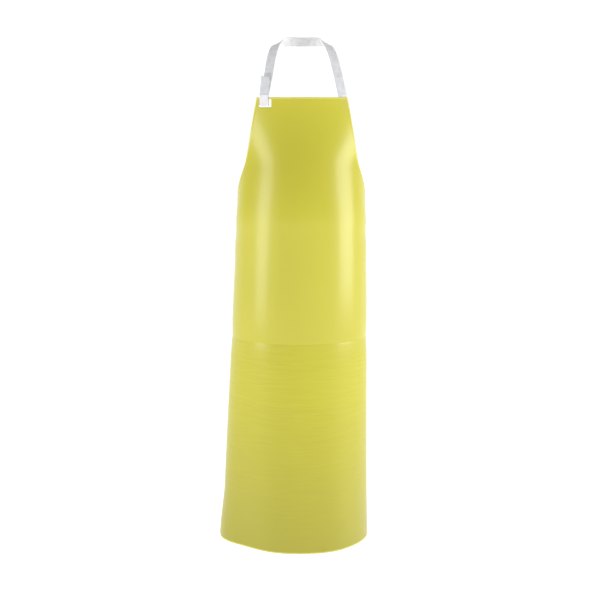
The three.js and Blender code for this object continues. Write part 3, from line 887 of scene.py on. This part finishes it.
def webbing_material(name, base, hollow_shade_and_grime, rib=520.0):
    """Woven polyester: ribs along the strap, painted shade that greys the hollows of the weave, and
    grime.
    """
    n = Nodes(name)
    uv = n.add("ShaderNodeUVMap", uv_map="cloth").outputs["UV"]
    across = n.add("ShaderNodeTexWave", Scale=rib / 6.3, Distortion=0.6, Detail=1.0)
    across.wave_profile = "SIN"
    across.bands_direction = "X"
    n.link(uv, across.inputs["Vector"])
    along = n.add("ShaderNodeTexWave", Scale=rib / 5.0, Distortion=0.8, Detail=1.0)
    along.bands_direction = "Y"
    n.link(uv, along.inputs["Vector"])
    weave = n.maths("MULTIPLY", across.outputs["Fac"], along.outputs["Fac"])
    grime = n.range(n.noise(70.0, 4.0), 0.35, 0.7, 0.0, 0.5)
    # painted shade: the colour goes grey where the weave is low; the grime noise adds real dirt on
    # top
    share = n.maths("ADD", n.range(weave, 0.0, 1.0, 0.45, 0.0), grime)
    n.link(n.blend(share, base, hollow_shade_and_grime), n.shader.inputs["Base Color"])
    n.link(n.range(n.noise(300.0, 2.0), 0.3, 0.7, 0.72, 0.9), n.shader.inputs["Roughness"])
    normal = n.bump(weave, 0.6, 0.0004)
    normal = n.bump(n.noise(2500.0, 2.0), 0.2, 0.0002, normal)
    n.link(normal, n.shader.inputs["Normal"])
    n.set(Sheen_Weight=0.25, Sheen_Roughness=0.5)
    return n.material


def thread_material():
    """Twisted polyester thread, coloured darker in the grooves of its twist as painted shade."""
    n = Nodes("sewing_thread")
    twist = n.add("ShaderNodeTexWave", Scale=420.0, Distortion=1.5, Detail=1.0)
    twist.bands_direction = "DIAGONAL"
    n.link(n.position((1, 1, 1)), twist.inputs["Vector"])
    # painted shade: the thread is darker in the grooves of its twist, where its bump is low
    colour = n.blend(twist.outputs["Fac"], linear(196, 192, 150), linear(226, 222, 180))
    n.link(colour, n.shader.inputs["Base Color"])
    n.link(n.range(twist.outputs["Fac"], 0.0, 1.0, 0.6, 0.8), n.shader.inputs["Roughness"])
    n.link(n.bump(twist.outputs["Fac"], 0.4, 0.0001), n.shader.inputs["Normal"])
    return n.material


def floor_material():
    """A plain pale floor that glows a little, like a lit studio sweep."""
    n = Nodes("pale_floor")
    colour = n.blend(n.noise(3.0, 2.0), (0.93, 0.93, 0.93, 1.0), (0.91, 0.91, 0.91, 1.0))
    n.link(colour, n.shader.inputs["Base Color"])
    n.set(Roughness=0.8, Emission_Color=(1.0, 1.0, 1.0, 1.0), Emission_Strength=FLOOR_GLOW)
    return n.material


# ---------------------------------------------------------------- camera, lights and floor
CAMERA_X = -0.0056
CAMERA_DISTANCE = 2.85
CAMERA_HEIGHT = -0.2585
AIM_Z = -0.7052
FRAME_HEIGHT = 1.629
WORLD_FRONT = 0.37
WORLD_BEHIND = 1.05
OVERHEAD = 0.4
FLOOR_GLOW = 0.6
FLOOR_BELOW_HEM = 0.22
FLOOR_SIZE = 60
# name, angle from the camera's side, distance, height above the chest, width, height, power
SOFTBOXES = (
    ("softbox_left", -60, 2.0, 0.40, 0.7, 1.7, 16),
    ("softbox_right", 73, 2.0, 0.40, 0.95, 1.7, 25),
)


def make_camera():
    camera = bpy.data.cameras.new("camera")
    obj = bpy.data.objects.new("camera", camera)
    bpy.context.scene.collection.objects.link(obj)
    front_y = BIB_FRONT_Y - BELLY_DEPTH
    aim = Vector((CAMERA_X, front_y, AIM_Z))
    obj.location = Vector((CAMERA_X, front_y - CAMERA_DISTANCE, CAMERA_HEIGHT))
    way = aim - obj.location
    obj.rotation_euler = way.to_track_quat("-Z", "Y").to_euler()
    camera.sensor_width = 36.0
    camera.lens = 36.0 * way.length / FRAME_HEIGHT
    camera.clip_end = 50
    bpy.context.scene.camera = obj


def area_light(name, place, target, width, height, power):
    light = bpy.data.lights.new(name, "AREA")
    light.shape = "RECTANGLE"
    light.size = width
    light.size_y = height
    light.energy = power
    obj = bpy.data.objects.new(name, light)
    bpy.context.scene.collection.objects.link(obj)
    obj.location = place
    obj.rotation_euler = (target - place).to_track_quat("-Z", "Y").to_euler()


def studio_world():
    """White behind the apron and greyer in front of it, so that its front is lit by the lamps."""
    world = bpy.context.scene.world or bpy.data.worlds.new("studio")
    bpy.context.scene.world = world
    world.use_nodes = True
    tree = world.node_tree
    coordinate = tree.nodes.new("ShaderNodeTexCoord")
    parts = tree.nodes.new("ShaderNodeSeparateXYZ")
    behind = tree.nodes.new("ShaderNodeMapRange")
    behind.interpolation_type = "SMOOTHSTEP"
    behind.inputs["From Min"].default_value = 0.1
    behind.inputs["From Max"].default_value = 0.9
    behind.inputs["To Min"].default_value = WORLD_FRONT
    behind.inputs["To Max"].default_value = WORLD_BEHIND
    tree.links.new(coordinate.outputs["Generated"], parts.inputs["Vector"])
    tree.links.new(parts.outputs["Y"], behind.inputs["Value"])
    background = tree.nodes["Background"]
    background.inputs["Color"].default_value = (1.0, 1.0, 1.0, 1.0)
    tree.links.new(behind.outputs["Result"], background.inputs["Strength"])


def make_studio():
    front_y = BIB_FRONT_Y - BELLY_DEPTH
    middle = Vector((0, front_y + 0.12, SHEET_TOP_Z - 0.42))
    for name, angle, away, rise, width, height, power in SOFTBOXES:
        turned = math.radians(angle)
        place = middle + Vector((away * math.sin(turned), -away * math.cos(turned), rise))
        area_light(name, place, middle, width, height, power)
    above = middle + Vector((0.0, -1.1, 2.1))
    area_light("overhead", above, middle + Vector((0.0, 0.1, 0.5)), 1.2, 0.8, OVERHEAD)
    floor_z = cad_box[0].z - FLOOR_BELOW_HEM
    bpy.ops.mesh.primitive_plane_add(size=FLOOR_SIZE, location=(0, 0, floor_z))
    floor = bpy.context.object
    floor.name = "floor"
    floor.data.materials.append(floor_material())
    studio_world()
    bpy.context.scene.view_settings.view_transform = "Standard"


# ---------------------------------------------------------------- assembly
make_camera()
make_studio()

vinyl = vinyl_material("coated_vinyl", front=True)
vinyl_back = vinyl_material("coated_vinyl_back", front=False)
vinyl_edge_highlight = edge_highlight_material()
white_webbing = webbing_material("woven_webbing", linear(250, 250, 253), linear(212, 213, 220))
tape_colours = linear(246, 246, 245), linear(206, 206, 208)
tape = webbing_material("hook_and_loop_tape", *tape_colours, rib=900.0)
thread = thread_material()


def finish_piece(obj, slot, *materials):
    for material in materials:
        obj.data.materials.append(material)
    return obj


def cut_area():
    """The flat area of the cut sheet, by adding up strips."""
    strips = 400
    step = SHEET_LENGTH / strips
    return sum(2 * half_width((i + 0.5) * step) * step for i in range(strips))


sheet = finish_piece(make_sheet(), "vinyl", vinyl, vinyl_back, vinyl_edge_highlight)
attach(sheet, "apron")
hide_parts("apron_sheet")
cut_area()

corner_patch = rounded_patch(
    "corner_weld_patch", SEWN_STRAP_S - 0.003, CORNER_PATCH[1] / 2 + PATCH_INSET,
    *CORNER_PATCH, PATCH_NEAR,
)
slot_patch = rounded_patch(
    "slot_weld_patch", SLOT_STRAP_S + 0.003, SLOT_PATCH[1] / 2 + PATCH_INSET,
    *SLOT_PATCH, PATCH_NEAR,
)
apply_boolean(slot_patch, slot_cutter())
for patch, node in ((corner_patch, "corner_patch"), (slot_patch, "slot_patch")):
    finish_piece(patch, "patch_vinyl", vinyl_back)
    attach(patch, "apron")
    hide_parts(node)

webbing_piece = finish_piece(neck_webbing(), "webbing", white_webbing, white_webbing)
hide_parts("neck_strap", "neck_strap_slot_fold", "neck_strap_sewn_end")
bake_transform(webbing_piece)

loop_out = WEBBING_THICKNESS / 2 + GAP + HOOK_THICKNESS / 2
hook_out = loop_out + HOOK_THICKNESS + GAP
tail_out = hook_out + HOOK_THICKNESS / 2 + GAP + WEBBING_THICKNESS / 2


def tail_drift(length):
    return -TAIL_DRIFT * length / TAIL_LENGTH


tail_stations = strap_stations(GAP, TAIL_LENGTH, tail_out, tail_drift)
tail = finish_piece(ribbon("tail_webbing", tail_stations), "webbing", white_webbing, white_webbing)
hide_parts("strap_tail")
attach(tail, "strap_tail")

hook = ribbon(
    "tail_hook_strip",
    strap_stations(TAIL_PATCH_INSET, TAIL_LENGTH - TAIL_PATCH_INSET, hook_out, tail_drift),
    HOOK_WIDTH, HOOK_THICKNESS, relief=TAPE_RELIEF,
)
finish_piece(hook, "hook_tape", tape, tape)
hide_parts("tail_hook_tape")
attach(hook, "strap_tail")

loop = ribbon(
    "strap_loop_strip",
    strap_stations(
        TAIL_PATCH_INSET, TAIL_PATCH_INSET + LOOP_PATCH_LENGTH, loop_out, lambda length: 0.0
    ),
    HOOK_WIDTH, HOOK_THICKNESS, relief=TAPE_RELIEF,
)
finish_piece(loop, "hook_tape", tape, tape)
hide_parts("strap_loop_tape")
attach(loop, "neck_loop")

corner_seam = box_seam(
    "corner_thread",
    SEWN_STRAP_S + math.tan(-SEWN_END_LEAN) * (SEWN_END_LENGTH / 2 + SWING_RISE + 0.002),
    SEWN_END_LENGTH / 2 + 0.002,
    WEBBING_WIDTH - 0.007,
    SEWN_END_LENGTH - 0.010,
    SEWN_END_LEAN,
    [(-HALF_SHEET, True), (SEWN_NEAR + WEBBING_THICKNESS, False)],
)
finish_piece(corner_seam, "thread", thread)
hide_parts("neck_end_stitching")
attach(corner_seam, "apron")

for side, name in ((-1, "left"), (1, "right")):
    edge = SKIRT_WIDTH / 2
    patch = rounded_patch(
        "waist_weld_patch_" + name,
        side * (edge - WAIST_PATCH[0] / 2 - PATCH_INSET), WAIST_TIE_DROP,
        *WAIST_PATCH, PATCH_NEAR,
    )
    finish_piece(patch, "patch_vinyl", vinyl_back)
    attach(patch, "apron")
    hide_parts("waist_patch_" + name)
    tie = waist_webbing(side, "waist_webbing_" + name)
    finish_piece(tie, "webbing", white_webbing, white_webbing)
    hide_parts("waist_tie_" + name, "waist_tie_end_" + name)
    at_edge = tie_point(side, 0, 0)
    onward = (tie_point(side, 0.01, 0) - at_edge).normalized()
    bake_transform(tie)
    seam = box_seam(
        "waist_thread_" + name,
        side * (edge - TIE_SEWN_LENGTH / 2 - 0.002),
        WAIST_TIE_DROP,
        TIE_SEWN_LENGTH - 0.010,
        WEBBING_WIDTH - 0.007,
        0.0,
        [(-HALF_SHEET, True), (SEWN_NEAR + WEBBING_THICKNESS, False)],
    )
    finish_piece(seam, "thread", thread)
    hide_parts("waist_stitching_" + name)
    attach(seam, "apron")

for side, name, node, body in (
    (-1, "waist_hook_strip", "waist_hook_tape", "tie_left"),
    (1, "waist_loop_strip", "waist_loop_tape", "tie_right"),
):
    strip = finish_piece(lap_tape(side, name), "hook_tape", tape, tape)
    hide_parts(node)
    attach(strip, body)
